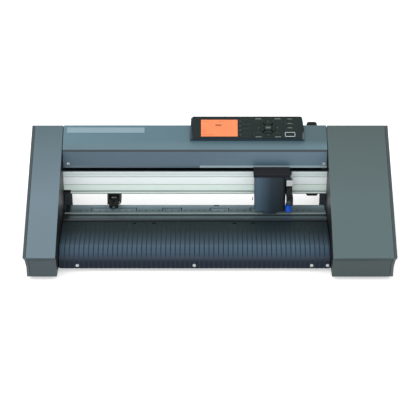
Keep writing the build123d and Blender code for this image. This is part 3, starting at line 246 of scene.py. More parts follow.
finishes = {
    "leftCoverGrey": {
        "along": (0, 0, 1), "rough": 0.42, "grain": 0.25, "grainScale": 900, "mottle": 0.02,
        # painted light and shade: the cover runs darker towards the top
        "paintedLightRamp": [(0.05, (94, 114, 123)), (0.12, (96, 116, 127)), (0.2, (75, 95, 102))],
        "paintedLightByFacing": [
            # painted shade: the inner wall facing into the bay painted nearly black
            {"axis": "X", "from": 0.6, "to": 0.8, "colour": (22, 28, 30)},
            # painted shade: steep and upright faces darkened
            {"axis": "Z", "from": 0.35, "to": 0.1, "colour": (121, 131, 133), "mode": "MULTIPLY"},
        ],
    },
    "rightCoverGrey": {
        "along": (0, 0, 1), "rough": 0.42, "grain": 0.25, "grainScale": 900, "mottle": 0.02,
        # painted light and shade: the cover runs darker towards the top
        "paintedLightRamp": [(0.05, (77, 95, 97)), (0.12, (78, 96, 98)), (0.2, (66, 82, 82))],
        "paintedLightByFacing": [
            # painted shade: the inner wall facing into the bay painted nearly black
            {"axis": "X", "from": -0.6, "to": -0.8, "colour": (26, 32, 33)},
            # painted shade: steep and upright faces darkened
            {"axis": "Z", "from": 0.35, "to": 0.1, "colour": (139, 153, 153), "mode": "MULTIPLY"},
        ],
    },
    "sidePanelGrey": {
        "colour": (56, 67, 70), "rough": 0.44, "grain": 0.25, "grainScale": 900, "mottle": 0.03,
    },
    "topPaint": {
        "along": (1, 0, 0), "rough": 0.34, "grain": 0.12, "grainScale": 1200, "mottle": 0.02,
        # painted light and shade: lighter at the left end, darker at the right
        "paintedLightRamp": [(bayLeft, (86, 116, 127)), (bayMiddle, (76, 104, 115)), (bayRight, (67, 89, 95))],
        "bands": [
            # painted light: a lighter strip along the fold below the control panel
            {"colour": (88, 113, 122), "Y": (0.0243, 0.030), "soft": 0.012},
            # painted shade: the upright front face darker, a little less so towards the right
            {"colour": (60, 83, 98), "Y": (None, 0.0238), "soft": 0.0001},
            {"colour": (72, 98, 112), "X": (0.16, None), "Y": (None, 0.0238), "soft": 0.0001, "softX": 0.2},
            # painted shade: a dark line along the fold
            {"colour": (34, 46, 54), "Y": (0.02375, 0.0241), "Z": (0.15, None), "soft": 0.00005},
            # painted highlight on the lip's edge right of the middle, painted shade on it to the left
            {"colour": (126, 144, 149), "X": (-0.0190, None), "Y": (None, lipFront + 0.0028), "soft": 0.0002},
            {"colour": (64, 82, 94), "X": (None, -0.0192), "Y": (None, lipFront + 0.0028), "soft": 0.0002},
        ],
    },
    "rearPaint": {"colour": (88, 108, 114), "rough": 0.38, "grain": 0.12, "mottle": 0.03},
    "apronGlossAndPaintedSheen": {
        "specular": 0.12,
        "along": (0, 0.6, 1), "rough": 0.4, "grain": 0.05, "mottle": 0.04,
        # painted highlight and shade: brightest across the knee of the curve, darker towards the top edge and
        # the bottom
        "paintedLightRamp": [
            (-0.072, (17, 26, 37)), (-0.056, (20, 30, 41)), (-0.047, (38, 52, 66)), (-0.036, (58, 77, 92)),
            (-0.022, (65, 86, 101)), (-0.008, (50, 66, 76)), (0.01, (34, 47, 48)), (0.03, (30, 40, 40)),
        ],
        # painted shade: dark lines along the ribs
        "stripes": [{
            "axis": "X", "start": bayMiddle, "pitch": 0.0088, "width": 0.0016, "colour": (36, 46, 60),
        }],
    },
    "darkSheet": {"specular": 0.2, "colour": (44, 52, 56), "rough": 0.5, "grain": 0.2, "mottle": 0.05},
    "anodised": {
        "colour": (225, 233, 233), "rough": 0.4, "stretch": (0.02, 1, 1), "warm": 0.005,
        "grain": 0.3, "grainScale": 2200, "mottle": 0.02, "mottleScale": 160,
        "bands": [
            # painted light and shade: the lower and upper parts of the rail's face in different tones
            {"colour": (214, 230, 223), "Z": (railLow.z, railHigh.z - 0.030), "soft": 0.0004},
            {"colour": (206, 217, 218), "Z": (railHigh.z - 0.0136, None), "soft": 0.0004},
            # painted shade in the front grooves
            {"colour": (190, 202, 200), "Y": inGroove, "Z": (railLow.z + 0.003, railHigh.z - 0.001)},
            # painted shade: a dark line along the top edge under the top cover's lip
            {"colour": (40, 52, 52), "Z": (railHigh.z - 0.0016, None)},
            # painted shade: a dark line along the bottom edge
            {"colour": (62, 74, 74), "Z": (None, railLow.z + 0.0012)},
            # painted shade on the low left end of the rail
            {"colour": (24, 28, 28), "X": (None, -0.2655), "Z": (None, railLow.z + 0.0085)},
        ],
    },
    "supplyCase": {"colour": (176, 180, 180), "rough": 0.4, "metal": 0.8, "grain": 0.2, "mottle": 0.05},
    "platenGrey": {
        "along": (0, 1, 0), "rough": 0.3, "coat": 0.2, "grain": 0.05, "mottle": 0.08, "mottleScale": 24,
        # painted light and shade: lighter towards the back, darker towards the front
        "paintedLightRamp": [
            (-0.004, (98, 118, 121)), (0.005, (104, 122, 126)), (0.010, (120, 140, 147)),
            (0.018, (146, 168, 176)), (0.024, (164, 187, 196)),
        ],
        "bands": [
            # painted shade in the two grooves, between them and along the front edge
            {"colour": (32, 44, 46), "Y": (-0.0174, -0.0099)},
            {"colour": (82, 98, 103), "Y": (-0.0249, -0.0174)},
            {"colour": (50, 64, 70), "Y": (-0.0287, -0.0249)},
            {"colour": (30, 42, 48), "Y": (None, -0.0287)},
            # painted shade at the left end by the left cover
            {"colour": (28, 34, 36), "X": (None, -0.268), "soft": 0.006},
        ],
    },
    "matStrip": {
        "colour": (162, 175, 171), "rough": 0.5, "grain": 0.3, "mottle": 0.06,
        "bands": [{"colour": (112, 128, 128), "Y": (-0.0058, None)}],
    },
    "blackPlastic": {"specular": 0.2, "colour": (24, 28, 29), "rough": 0.42, "grain": 0.25, "mottle": 0.1},
    "carriagePaint": {
        "specular": 0.15,
        "along": (1, 0, 0), "rough": 0.42, "grain": 0.08, "mottle": 0.03,
        # painted sheen and shade: light at the left end of the cover, dark at the right
        "paintedLightRamp": [
            (carriageLow.x, (71, 93, 110)), (carriageLow.x + 0.016, (57, 76, 89)),
            (carriageLow.x + 0.034, (34, 46, 56)), (carriageHigh.x - 0.012, (28, 36, 40)),
        ],
        "bands": [{"colour": (8, 12, 20), "Z": (carriageHigh.z - 0.0095, None), "soft": 0.0006}],
    },
    "knobGrey": {"specular": 0.2, "colour": (52, 62, 70), "rough": 0.35, "grain": 0.1, "mottle": 0.05},
    "steel": {"colour": (168, 170, 172), "rough": 0.3, "metal": 1, "stretch": (1, 1, 0.1), "grain": 0.2},
    "gritSteel": {
        "colour": (126, 146, 155), "rough": 0.6, "metal": 0.2, "grain": 1, "grainScale": 1600, "mottle": 0.2,
    },
    "blackRubber": {"specular": 0.2, "colour": (22, 22, 23), "rough": 0.7, "grain": 0.4, "mottle": 0.12},
    "panelDark": {"specular": 0.2, "colour": (25, 36, 36), "rough": 0.34, "grain": 0.15, "mottle": 0.04},
    "housingDark": {
        "specular": 0.2,
        "colour": (38, 50, 60), "rough": 0.34, "grain": 0.15, "mottle": 0.04,
        # painted light: the end faces that look sideways lighter than the rest
        "paintedLightByFacing": [
            {"axis": "X", "from": 0.15, "to": 0.3, "colour": (84, 98, 108)},
            {"axis": "X", "from": -0.15, "to": -0.3, "colour": (60, 72, 84)},
        ],
    },
    "keyRubber": {"specular": 0.2, "colour": (25, 35, 32), "rough": 0.45, "grain": 0.2, "mottle": 0.06},
    "screenGlow": {"colour": (216, 120, 76), "rough": 0.25, "glow": 0.36, "mottle": 0.05, "mottleScale": 40},
    "screenInk": {"colour": (176, 92, 54), "rough": 0.4, "mottle": 0.1, "glow": 0.12},
    "boardGreen": {"colour": (22, 74, 40), "rough": 0.4, "grain": 0.2, "mottle": 0.15, "mottleScale": 200},
    "motorBlack": {"specular": 0.2, "colour": (30, 31, 33), "rough": 0.4, "grain": 0.15},
    "capBlue": {"colour": (26, 86, 202), "rough": 0.16, "coat": 0.5, "mottle": 0.03},
    "screwZinc": {"colour": (176, 184, 184), "rough": 0.25, "metal": 0.6, "grain": 0.1},
    "ribbonBlack": {
        "specular": 0.2,
        "colour": (16, 28, 30), "rough": 0.5, "stretch": (0.02, 1, 1), "mottle": 0.2, "mottleScale": 900,
    },
    "plateSilver": {"colour": (128, 152, 161), "rough": 0.3, "metal": 0.1, "grain": 0.1, "mottle": 0.03},
    "printPale": {"colour": (128, 146, 138), "rough": 0.6, "mottle": 0.15, "mottleScale": 900},
    "printDark": {"colour": (26, 34, 38), "rough": 0.6, "mottle": 0.15, "mottleScale": 400},
    "rimGrey": {"colour": (74, 88, 80), "rough": 0.5, "mottle": 0.1},
    "rimWhite": {"colour": (190, 205, 214), "rough": 0.4, "mottle": 0.05},
}
finishOf = {}
for name, look in finishes.items():
    finishOf[name] = makeFinish(name, look)
print("finishes made:", len(finishOf))

wears = {
    "leftCoverGrey": ["left_cover"],
    "rightCoverGrey": ["right_cover"],
    "sidePanelGrey": ["side_panels"],
    "topPaint": ["top_cover"],
    "rearPaint": ["rear_cover"],
    "apronGlossAndPaintedSheen": ["front_apron"],
    "darkSheet": ["base_chassis", "side_frames", "rail_brackets"],
    "anodised": ["y_rail"],
    "supplyCase": ["power_supply"],
    "platenGrey": ["platen"],
    "matStrip": ["cutting_mat"],
    "blackPlastic": [
        "sensors", "rear_connectors", "tool_arm", "media_lever", "power_switch",
        "push_roller_carrier_left", "push_roller_carrier_right",
        "push_roller_arm_left", "push_roller_arm_right",
    ],
    "carriagePaint": ["carriage_cover"],
    "knobGrey": ["clamp_knob"],
    "steel": ["carriage_chassis", "blade", "shaft_bearings", "feed_pinion", "motor_pulley", "idler_pulley"],
    "gritSteel": ["grit_shaft"],
    "blackRubber": ["feet", "drive_belt", "push_roller_wheel_left", "push_roller_wheel_right"],
    "panelDark": ["panel_face"],
    "housingDark": ["panel_housing"],
    "keyRubber": keyNames,
    "screenGlow": ["lcd_module"],
    "boardGreen": ["circuit_boards"],
    "motorBlack": ["drive_motors"],
    "capBlue": ["blade_holder"],
    "screwZinc": ["screws"],
    "ribbonBlack": ["flat_cable"],
}
for finish, names in wears.items():
    for name in names:
        mesh = nodes[name].data
        mesh.materials.clear()
        mesh.materials.append(finishOf[finish])
print("finishes given to", sum(len(names) for names in wears.values()), "nodes")


# rounded edges and smooth curves on the CAD pieces

def newTree(name, inputs):
    tree = bpy.data.node_groups.new(name, "GeometryNodeTree")
    tree.interface.new_socket("Mesh", in_out="OUTPUT", socket_type="NodeSocketGeometry")
    tree.interface.new_socket("Mesh", in_out="INPUT", socket_type="NodeSocketGeometry")
    for label, kind in inputs.items():
        tree.interface.new_socket(label, in_out="INPUT", socket_type=f"NodeSocket{kind}")
    return tree, addNode(tree, "NodeGroupInput"), addNode(tree, "NodeGroupOutput")


def setInputs(modifier, values):
    for socket in modifier.node_group.interface.items_tree:
        if socket.item_type == "SOCKET" and socket.in_out == "INPUT" and socket.name in values:
            modifier[socket.identifier] = values[socket.name]


def smoothTree():
    # joins the loose triangles, then shades smooth except across sharp edges
    tree, given, made = newTree("smoothCurves", {"Sharp Angle": "Float"})
    join = addNode(tree, "GeometryNodeMergeByDistance")
    join.inputs["Distance"].default_value = 0.000002
    smooth = addNode(tree, "GeometryNodeSetShadeSmooth", domain="FACE")
    angle = addNode(tree, "GeometryNodeInputMeshEdgeAngle")
    sharp = addNode(tree, "FunctionNodeCompare", data_type="FLOAT", operation="GREATER_THAN")
    crease = addNode(tree, "GeometryNodeSetShadeSmooth", domain="EDGE")
    crease.inputs["Shade Smooth"].default_value = False
    tree.links.new(given.outputs["Mesh"], join.inputs["Geometry"])
    tree.links.new(join.outputs["Geometry"], smooth.inputs["Geometry"])
    tree.links.new(smooth.outputs["Geometry"], crease.inputs["Geometry"])
    tree.links.new(angle.outputs["Unsigned Angle"], sharp.inputs["A"])
    tree.links.new(given.outputs["Sharp Angle"], sharp.inputs["B"])
    tree.links.new(sharp.outputs["Result"], crease.inputs["Selection"])
    tree.links.new(crease.outputs["Geometry"], made.inputs["Mesh"])
    return tree


edges = {
    "sharpAngle": radians(28), "bevelAngle": radians(30),
    "rounded": {  # width of the rounded edge on each pressed or moulded piece
        "left_cover": 0.0009, "right_cover": 0.0009, "side_panels": 0.0008,
        "panel_housing": 0.0005, "panel_face": 0.0002, "carriage_cover": 0.0005, "rear_cover": 0.0005,
    },
}
smoothCurves = smoothTree()
for name, node in nodes.items():
    smooth = node.modifiers.new("smoothCurves", "NODES")
    smooth.node_group = smoothCurves
    setInputs(smooth, {"Sharp Angle": edges["sharpAngle"]})
    if name in edges["rounded"]:
        bevel = node.modifiers.new("roundedEdges", "BEVEL")
        bevel.width = edges["rounded"][name]
        bevel.segments = 2
        bevel.limit_method = "ANGLE"
        bevel.angle_limit = edges["bevelAngle"]
print("edges rounded on", len(edges["rounded"]), "nodes")


# repeated small pieces

def putOnPoints(tree, given, made, shape):
    # the shape on every point, turned by the given tilt and painted with the given finish
    spread = addNode(tree, "GeometryNodeInstanceOnPoints")
    turn = addNode(tree, "FunctionNodeEulerToRotation")
    whole = addNode(tree, "GeometryNodeRealizeInstances")
    paint = addNode(tree, "GeometryNodeSetMaterial")
    tree.links.new(given.outputs["Mesh"], spread.inputs["Points"])
    tree.links.new(shape.outputs["Mesh"], spread.inputs["Instance"])
    tree.links.new(given.outputs["Tilt"], turn.inputs["Euler"])
    tree.links.new(turn.outputs["Rotation"], spread.inputs["Rotation"])
    tree.links.new(spread.outputs["Instances"], whole.inputs["Geometry"])
    tree.links.new(whole.outputs["Geometry"], paint.inputs["Geometry"])
    tree.links.new(given.outputs["Finish"], paint.inputs["Material"])
    tree.links.new(paint.outputs["Geometry"], made.inputs["Mesh"])
    return tree


def wireAlong(tree, given, curve, sides):
    # round wire along a curve
    profile = addNode(tree, "GeometryNodeCurvePrimitiveCircle")
    profile.inputs["Resolution"].default_value = sides
    wire = addNode(tree, "GeometryNodeCurveToMesh")
    tree.links.new(given.outputs["Wire"], profile.inputs["Radius"])
    tree.links.new(curve, wire.inputs["Curve"])
    tree.links.new(profile.outputs["Curve"], wire.inputs["Profile Curve"])
    return wire


def marksTree():
    # printed bars
    tree, given, made = newTree("marksOnPoints", {
        "Bar Size": "Vector", "Tilt": "Vector", "Finish": "Material",
    })
    bar = addNode(tree, "GeometryNodeMeshCube")
    tree.links.new(given.outputs["Bar Size"], bar.inputs["Size"])
    return putOnPoints(tree, given, made, bar)


def rimsTree():
    # rounded rectangular rims of thin wire
    tree, given, made = newTree("rimsOnPoints", {
        "Width": "Float", "Height": "Float", "Corner": "Float", "Wire": "Float",
        "Tilt": "Vector", "Finish": "Material",
    })
    outline = addNode(tree, "GeometryNodeCurvePrimitiveQuadrilateral")
    rounded = addNode(tree, "GeometryNodeFilletCurve", mode="POLY")
    rounded.inputs["Count"].default_value = 4
    tree.links.new(given.outputs["Width"], outline.inputs["Width"])
    tree.links.new(given.outputs["Height"], outline.inputs["Height"])
    tree.links.new(outline.outputs["Curve"], rounded.inputs["Curve"])
    tree.links.new(given.outputs["Corner"], rounded.inputs["Radius"])
    return putOnPoints(tree, given, made, wireAlong(tree, given, rounded.outputs["Curve"], 6))


def headsTree():
    # screw heads
    tree, given, made = newTree("headsOnPoints", {
        "Radius": "Float", "Height": "Float", "Tilt": "Vector", "Finish": "Material",
    })
    head = addNode(tree, "GeometryNodeMeshCylinder")
    head.inputs["Vertices"].default_value = 24
    tree.links.new(given.outputs["Radius"], head.inputs["Radius"])
    tree.links.new(given.outputs["Height"], head.inputs["Depth"])
    return putOnPoints(tree, given, made, head)


def springsTree():
    # coil springs
    tree, given, made = newTree("springsOnPoints", {
        "Radius": "Float", "Height": "Float", "Turns": "Float", "Wire": "Float",
        "Tilt": "Vector", "Finish": "Material",
    })
    coil = addNode(tree, "GeometryNodeCurveSpiral")
    coil.inputs["Resolution"].default_value = 20
    tree.links.new(given.outputs["Radius"], coil.inputs["Start Radius"])
    tree.links.new(given.outputs["Radius"], coil.inputs["End Radius"])
    tree.links.new(given.outputs["Height"], coil.inputs["Height"])
    tree.links.new(given.outputs["Turns"], coil.inputs["Rotations"])
    wire = wireAlong(tree, given, coil.outputs["Curve"], 8)
    wire.inputs["Fill Caps"].default_value = True
    return putOnPoints(tree, given, made, wire)


trees = {"marks": marksTree(), "rims": rimsTree(), "heads": headsTree(), "springs": springsTree()}


def settle(piece, body, rounding=0):
    # soft edges, then the body it moves with
    if rounding:
        bevel = piece.modifiers.new("roundedEdges", "BEVEL")
        bevel.width = rounding
        bevel.segments = 2
        bevel.limit_method = "ANGLE"
    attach(piece, body)


def repeatOn(name, kind, points, values, finish, body, rounding=0):
    # runs a tree over the points and keeps the result as a plain mesh
    seed = bpy.data.meshes.new(name + "Points")
    seed.from_pydata([tuple(point) for point in points], [], [])
    piece = bpy.data.objects.new(name, seed)
    bpy.context.scene.collection.objects.link(piece)
    grow = piece.modifiers.new("repeat", "NODES")
    grow.node_group = trees[kind]
    setInputs(grow, {**values, "Finish": finishOf[finish]})
    bpy.context.view_layer.update()
    depsgraph = bpy.context.evaluated_depsgraph_get()
    solid = bpy.data.meshes.new_from_object(piece.evaluated_get(depsgraph), depsgraph=depsgraph)
    piece.modifiers.clear()
    solid.name = name
    piece.data = solid
    settle(piece, body, rounding)


def pressedPlate(name, outline, thickness, across, finish, body, rounding):
    # flat outline carried along the across vector, as one closed solid
    count = len(outline)
    near = [tuple(point) for point in outline]
    far = [tuple(Vector(point) + Vector(across) * thickness) for point in outline]
    sides = [(i, (i + 1) % count, (i + 1) % count + count, i + count) for i in range(count)]
    mesh = bpy.data.meshes.new(name)
    mesh.from_pydata(near + far, [], [tuple(range(count))[::-1], tuple(range(count, 2 * count)), *sides])
    mesh.materials.append(finishOf[finish])
    piece = bpy.data.objects.new(name, mesh)
    bpy.context.scene.collection.objects.link(piece)
    settle(piece, body, rounding)


def topOf(name):  # how far off the slope the highest point of a node is
    return max(slopeReading(vertex.co)[1] for vertex in nodes[name].data.vertices)


slopeTilt = (rise, 0, 0)
sideTilt = (0, pi / 2, 0)
backTilt = (pi / 2, 0, 0)


# name plate on the top cover
namePlate = {
    "left": -0.2700, "right": -0.1235, "along": 0.0235, "height": 0.0118, "thickness": 0.0005,
    "rounding": 0.0002,
}
plateLow = namePlate["along"] - namePlate["height"] / 2
plateHigh = namePlate["along"] + namePlate["height"] / 2
plateCorners = [
    onSlope(namePlate["left"], plateLow, 0), onSlope(namePlate["right"], plateLow, 0),
    onSlope(namePlate["right"], plateHigh, 0), onSlope(namePlate["left"], plateHigh, 0),
]
pressedPlate(
    "namePlate", plateCorners, namePlate["thickness"], offSlope,
    "plateSilver", "machine", namePlate["rounding"],
)

# position marks behind the cutting mat
rulerMarks = {"pitch": 0.0125, "depth": 0.0032, "size": (0.0026, 0.0022, 0.0002), "endGaps": 0.04}
markCount = int((bayRight - bayLeft - rulerMarks["endGaps"]) / rulerMarks["pitch"])
markPoints = [
    (bayMiddle + (i - (markCount - 1) / 2) * rulerMarks["pitch"], rulerMarks["depth"], platenTop)
    for i in range(markCount)
]
repeatOn(
    "rulerMarks", "marks", markPoints, {"Bar Size": rulerMarks["size"]},
    "printDark", "machine",
)

# control panel: a rim round each key, and a brighter one round the last side key
faceTop = topOf("panel_face")
keyPlaces = {}
for name in keyNames:
    low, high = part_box(name)
    keyPlaces[name] = ((low.x + high.x) / 2, slopeReading((low + high) / 2)[0])
keyRims = {
    "plain": {"Width": 0.0162, "Height": 0.0068, "Corner": 0.0012, "Wire": 0.00022, "Tilt": slopeTilt},
    "bright": {"Width": 0.0180, "Height": 0.0088, "Corner": 0.0012, "Wire": 0.0006, "Tilt": slopeTilt},
    "brightKey": "side_key_4",
}
rimmedKeys = [name for name in keyNames if name.startswith(("soft_", "side_", "top_", "low_"))]
rimPoints = [onSlope(*keyPlaces[name], faceTop) for name in rimmedKeys if name != keyRims["brightKey"]]
repeatOn("keyRims", "rims", rimPoints, keyRims["plain"], "rimGrey", "machine")
brightPoints = [onSlope(*keyPlaces[keyRims["brightKey"]], faceTop)]
repeatOn("brightKeyRim", "rims", brightPoints, keyRims["bright"], "rimWhite", "machine")

# control panel: plain printed bars beside the keys
legends = {
    "long": (0.0110, 0.0012, 0.0001), "short": (0.0080, 0.0010, 0.0001), "dot": (0.0012, 0.0012, 0.0001),
    "enter": (0.0085, 0.0009, 0.0001),
    "cornerGap": 0.0056, "sideGap": 0.0049, "softGap": 0.0100, "ringAcross": 0.0170, "ringAlong": 0.0150,
    "enterRows": (0.0008, -0.0012),
}
longPoints = []
for name, way in (("top_left_key", 1), ("top_right_key", 1), ("low_left_key", -1), ("low_right_key", -1)):
    across, along = keyPlaces[name]
    longPoints.append(onSlope(across, along + way * legends["cornerGap"], faceTop))
shortPoints = []
for number in (1, 2, 3):
    across, along = keyPlaces[f"side_key_{number}"]
    shortPoints.append(onSlope(across, along + legends["sideGap"], faceTop))
dotPoints = []
for number in (1, 2, 3, 4):
    across, along = keyPlaces[f"soft_key_{number}"]
    dotPoints.append(onSlope(across - legends["softGap"], along, faceTop))
ringX, ringAlong = keyPlaces["enter_key"]
for wayAcross, wayAlong in ((0, 1), (0, -1), (1, 0), (-1, 0)):
    across = ringX + wayAcross * legends["ringAcross"]
    dotPoints.append(onSlope(across, ringAlong + wayAlong * legends["ringAlong"], faceTop))
for kind, points in (("long", longPoints), ("short", shortPoints), ("dot", dotPoints)):
    barValues = {"Bar Size": legends[kind], "Tilt": slopeTilt}
    repeatOn(kind + "Legends", "marks", points, barValues, "printPale", "machine")
enterTop = topOf("enter_key")
enterPoints = [onSlope(ringX, ringAlong + row, enterTop) for row in legends["enterRows"]]
enterValues = {"Bar Size": legends["enter"], "Tilt": slopeTilt}
repeatOn("enterLegend", "marks", enterPoints, enterValues, "printPale", "enter_key")

# plain status lines on the display
statusLines = {
    "thickness": 0.0001, "dashShare": 0.7,
    "rows": [  # across, up, length, height, how many dashes
        (-0.026, 0.0150, 0.012, 0.0010, 4), (0.004, 0.0150, 0.012, 0.0010, 4),
        (-0.029, -0.0040, 0.010, 0.0010, 3), (-0.029, -0.0085, 0.008, 0.0010, 3),
        (-0.022, -0.0150, 0.026, 0.0010, 8),
    ],
    "box": (0.0115, 0.0042), "boxAcross": -0.0015, "boxUp": 0.0062,
}
displayLow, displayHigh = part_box("lcd_module")
displayTop = topOf("lcd_module")
displayX = (displayLow.x + displayHigh.x) / 2
displayAlong = slopeReading((displayLow + displayHigh) / 2)[0]
for number, (across, up, length, height, dashes) in enumerate(statusLines["rows"]):
    step = length / dashes
    dashPoints = []
    for i in range(dashes):
        dashX = displayX + across + (i - (dashes - 1) / 2) * step
        dashPoints.append(onSlope(dashX, displayAlong + up, displayTop))
    dashSize = (step * statusLines["dashShare"], height, statusLines["thickness"])
    dashValues = {"Bar Size": dashSize, "Tilt": slopeTilt}
    repeatOn(f"statusLine{number}", "marks", dashPoints, dashValues, "screenInk", "machine")
boxPlace = onSlope(displayX + statusLines["boxAcross"], displayAlong + statusLines["boxUp"], displayTop)
boxValues = {"Bar Size": (*statusLines["box"], statusLines["thickness"]), "Tilt": slopeTilt}
repeatOn("statusBox", "marks", [boxPlace], boxValues, "screenInk", "machine")
print("panel print made")

# bright bracket above the tool
bracket = {
    "width": 0.0115, "low": 0.1128, "high": 0.1266, "front": -0.0128, "thickness": 0.001, "shelf": 0.010,
    "foot": 0.0022, "rounding": 0.0002,
}
holderLow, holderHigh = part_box("blade_holder")
bracketLeft = (holderLow.x + holderHigh.x) / 2 - bracket["width"] / 2
wallBack = bracket["front"] + bracket["thickness"]
shelfUnder = bracket["high"] - bracket["thickness"]
bracketOutline = [
    (bracketLeft, bracket["front"], bracket["high"]),
    (bracketLeft, bracket["front"], bracket["low"] + 0.002),
    (bracketLeft, bracket["front"] + 0.0012, bracket["low"]),
    (bracketLeft, bracket["front"] + bracket["foot"], bracket["low"]),
    (bracketLeft, wallBack, bracket["low"] + 0.0026),
    (bracketLeft, wallBack, shelfUnder),
    (bracketLeft, bracket["front"] + bracket["shelf"], shelfUnder),
    (bracketLeft, bracket["front"] + bracket["shelf"], bracket["high"]),
]
pressedPlate(
    "toolBracket", bracketOutline, bracket["width"], (1, 0, 0),
    "steel", "carriage", bracket["rounding"],
)

# small cable hook on the carriage's left side
hook = {
    "right": carriageLow.x - 0.0002, "wall": 0.001, "reach": 0.0016, "toe": 0.0012,
    "top": 0.0866, "low": 0.0803, "front": -0.0050, "width": 0.0022, "rounding": 0.0001,
}
hookOutline = [
    (hook["right"], hook["front"], hook["top"]),
    (hook["right"], hook["front"], hook["low"]),
    (hook["right"] - hook["reach"], hook["front"], hook["low"]),
    (hook["right"] - hook["reach"], hook["front"], hook["low"] + hook["toe"]),
    (hook["right"] - hook["wall"], hook["front"], hook["low"] + hook["reach"]),
    (hook["right"] - hook["wall"], hook["front"], hook["top"]),
]
pressedPlate(
    "cableHook", hookOutline, hook["width"], (0, 1, 0),
    "darkSheet", "carriage", hook["rounding"],
)

# axle caps and springs on the push rollers
rollerParts = {
    "cap": {"Radius": 0.0022, "Height": 0.0010, "Tilt": sideTilt}, "capProud": 0.0001, "capRounding": 0.0002,
    "spring": {"Radius": 0.0020, "Height": 0.0090, "Turns": 6.0, "Wire": 0.00032, "Tilt": sideTilt},
    "springDepth": 0.0225, "springRise": 0.0062,
}
for side in ("left", "right"):
    wheelLow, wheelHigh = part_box(f"push_roller_wheel_{side}")
    middle = (wheelLow + wheelHigh) / 2
    capPoints = [
        (wheelLow.x - rollerParts["capProud"], middle.y, middle.z),
        (wheelHigh.x + rollerParts["capProud"], middle.y, middle.z),
    ]
    repeatOn(
        f"axleCaps_{side}", "heads", capPoints, rollerParts["cap"],
        "steel", f"roller_arm_{side}", rollerParts["capRounding"],
    )
    springLeft = middle.x - rollerParts["spring"]["Height"] / 2
    springPoint = [(springLeft, rollerParts["springDepth"], middle.z + rollerParts["springRise"])]
    repeatOn(
        f"rollerSpring_{side}", "springs", springPoint, rollerParts["spring"],
        "steel", f"roller_arm_{side}",
    )

# screws on the side panels, the rear cover and the covers' back walls
screwHeads = {
    "radius": 0.0032, "height": 0.0012, "rounding": 0.0004,
    "sideSpots": [(-0.128, 0.066), (0.058, 0.168), (0.150, 0.112), (0.150, 0.064)],  # depth, height
    "rearHeight": 0.112, "backHeight": 0.095,
}
headValues = {"Radius": screwHeads["radius"], "Height": screwHeads["height"]}
leftEnd, rightEnd = cadBox[0][0], cadBox[1][0]
for side, end in (("left", leftEnd), ("right", rightEnd)):
    sidePoints = [(end, depth, height) for depth, height in screwHeads["sideSpots"]]
    repeatOn(
        f"panelScrews_{side}", "heads", sidePoints, {**headValues, "Tilt": sideTilt},
        "knobGrey", "machine", screwHeads["rounding"],
    )
rearLow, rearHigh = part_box("rear_cover")
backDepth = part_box("right_cover")[1].y
rearPoints = []
for across in (rearLow.x + 0.03, bayMiddle, rearHigh.x - 0.05):
    rearPoints.append((across, rearHigh.y, screwHeads["rearHeight"]))
for across in (bayRight + 0.012, rightEnd - 0.020, bayLeft - 0.012):
    rearPoints.append((across, backDepth, screwHeads["backHeight"]))
repeatOn(
    "rearScrews", "heads", rearPoints, {**headValues, "Tilt": backTilt},
    "screwZinc", "machine", screwHeads["rounding"],
)

# louvres on the right cover's back wall
louvres = {
    "across": bayRight + 0.057, "low": 0.062, "count": 7, "pitch": 0.0055, "size": (0.062, 0.0006, 0.0042),
    "lean": 0.5, "proud": 0.0008, "rounding": 0.0002,
    "rim": {"Width": 0.068, "Height": 0.043, "Corner": 0.003, "Wire": 0.001, "Tilt": backTilt},
    "shadeHalfWidth": 0.033, "shadeHalfHeight": 0.0205, "shadeThickness": 0.0004,
}
slatPoints = [
    (louvres["across"], backDepth + louvres["proud"], louvres["low"] + i * louvres["pitch"])
    for i in range(louvres["count"])
]
repeatOn(
    "louvres", "marks", slatPoints, {"Bar Size": louvres["size"], "Tilt": (louvres["lean"], 0, 0)},
    "sidePanelGrey", "machine", louvres["rounding"],
)
louvreMiddle = louvres["low"] + (louvres["count"] - 1) * louvres["pitch"] / 2
rimPoint = [(louvres["across"], backDepth, louvreMiddle)]
repeatOn("louvreRim", "rims", rimPoint, louvres["rim"], "sidePanelGrey", "machine")
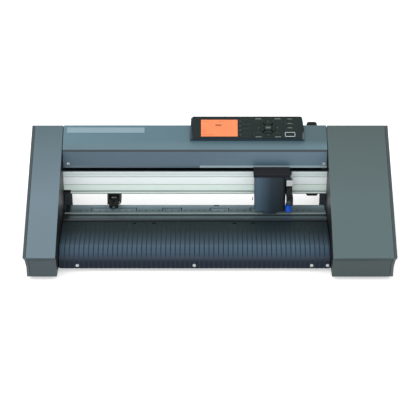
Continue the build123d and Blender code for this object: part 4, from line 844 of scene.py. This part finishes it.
# painted shade: a black sheet behind the slats stands for the shade inside the vent
shadeCorners = []
for wayAcross, wayUp in ((-1, 1), (1, 1), (1, -1), (-1, -1)):
    shadeCorners.append((
        louvres["across"] + wayAcross * louvres["shadeHalfWidth"],
        backDepth - louvres["shadeThickness"] / 2,
        louvreMiddle + wayUp * louvres["shadeHalfHeight"],
    ))
pressedPlate(
    "louvreShade", shadeCorners, louvres["shadeThickness"], (0, 1, 0),
    "blackPlastic", "machine", 0,
)
print("small pieces made")


# camera, floor and lights
studio = {
    "cameraPlace": (0, -2.184, 1.317), "cameraTilt": 60, "lens": 113.8,
    "floorSize": 12, "floorFinish": {"colour": (250, 250, 250), "rough": 0.9, "mottle": 0.005, "glow": 0.45},
    "worldStrength": 0.5,
    "lights": [  # place, aim, size, power
        ((-1.4, -1.2, 2.2), (0, 0, 0.1), 1.8, 28),
        ((1.6, -1.0, 1.8), (0.1, 0, 0.1), 1.6, 12),
        ((0, 1.2, 2.4), (0, 0, 0.1), 2.0, 20),
        ((0, -2.7, 0.75), (0, 0, 0.1), 1.2, 28),
    ],
}


def buildStudio():
    scene = bpy.context.scene
    camera = bpy.data.objects.new("camera", bpy.data.cameras.new("camera"))
    camera.data.lens = studio["lens"]
    camera.data.sensor_width = 36
    camera.location = studio["cameraPlace"]
    camera.rotation_euler = (radians(studio["cameraTilt"]), 0, 0)
    scene.collection.objects.link(camera)
    scene.camera = camera

    half = studio["floorSize"] / 2
    mesh = bpy.data.meshes.new("floor")
    corners = [(-half, -half, 0), (half, -half, 0), (half, half, 0), (-half, half, 0)]
    mesh.from_pydata(corners, [], [(0, 1, 2, 3)])
    floor = bpy.data.objects.new("floor", mesh)
    mesh.materials.append(makeFinish("paleFloor", studio["floorFinish"]))
    scene.collection.objects.link(floor)

    for number, (place, aim, size, power) in enumerate(studio["lights"]):
        lamp = bpy.data.lights.new(f"softLight{number}", "AREA")
        lamp.size = size
        lamp.energy = power
        light = bpy.data.objects.new(f"softLight{number}", lamp)
        light.location = place
        light.rotation_euler = (Vector(aim) - Vector(place)).to_track_quat("-Z", "Y").to_euler()
        scene.collection.objects.link(light)

    world = bpy.data.worlds.new("paleRoom")
    world.use_nodes = True
    world.node_tree.nodes["Background"].inputs["Color"].default_value = (1, 1, 1, 1)
    world.node_tree.nodes["Background"].inputs["Strength"].default_value = studio["worldStrength"]
    scene.world = world
    scene.view_settings.view_transform = "Standard"
    print("studio ready")


buildStudio()
